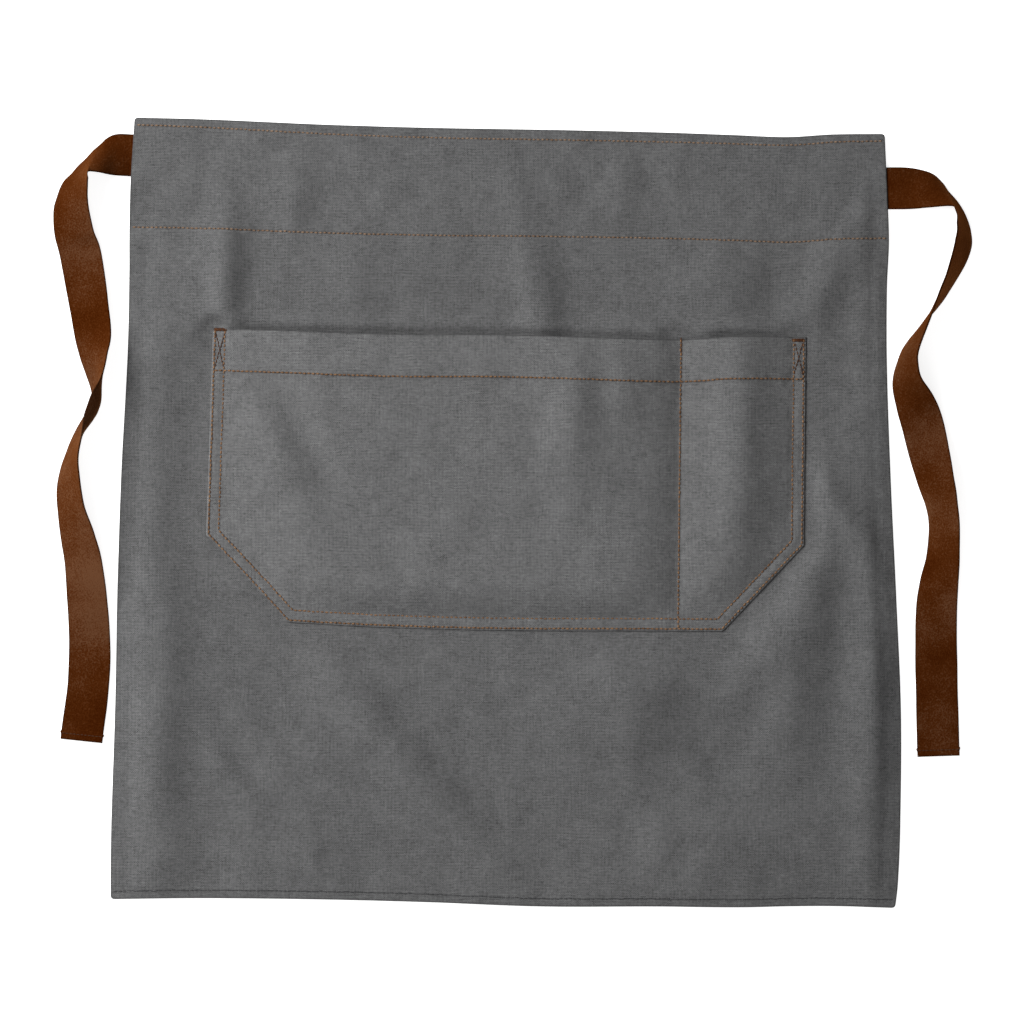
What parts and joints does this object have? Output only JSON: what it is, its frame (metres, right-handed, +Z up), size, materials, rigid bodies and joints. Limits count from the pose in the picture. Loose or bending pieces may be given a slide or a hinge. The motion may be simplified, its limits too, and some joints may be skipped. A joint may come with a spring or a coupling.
{
  "type": "waist apron",
  "caption": "Canvas waist apron laid flat: hemmed skirt, deep waistband casing, divided patch pocket and leather ties.",
  "frame": {"origin": "under the middle of the whole laid apron, on the surface that it lies on", "axes": "+X to the right across the skirt and both ties, +Y to the waist edge, +Z up out of the front face"},
  "size_m": [0.8276, 0.7112, 0.0379],
  "materials": {
    "canvas": "matt mid-grey cotton canvas with a fine heathered plain weave",
    "pocket_canvas": "the same mid-grey canvas, a little lighter",
    "tie_leather": "soft dark brown leather with a fine grain and a low sheen",
    "thread": "matt orange-brown topstitching thread"
  },
  "bodies": {
    "root": {"body_panel": "canvas", "waistband_facing": "canvas", "pocket_panel": "pocket_canvas", "tie_left": "tie_leather", "tie_right": "tie_leather"}
  },
  "joints": []
}
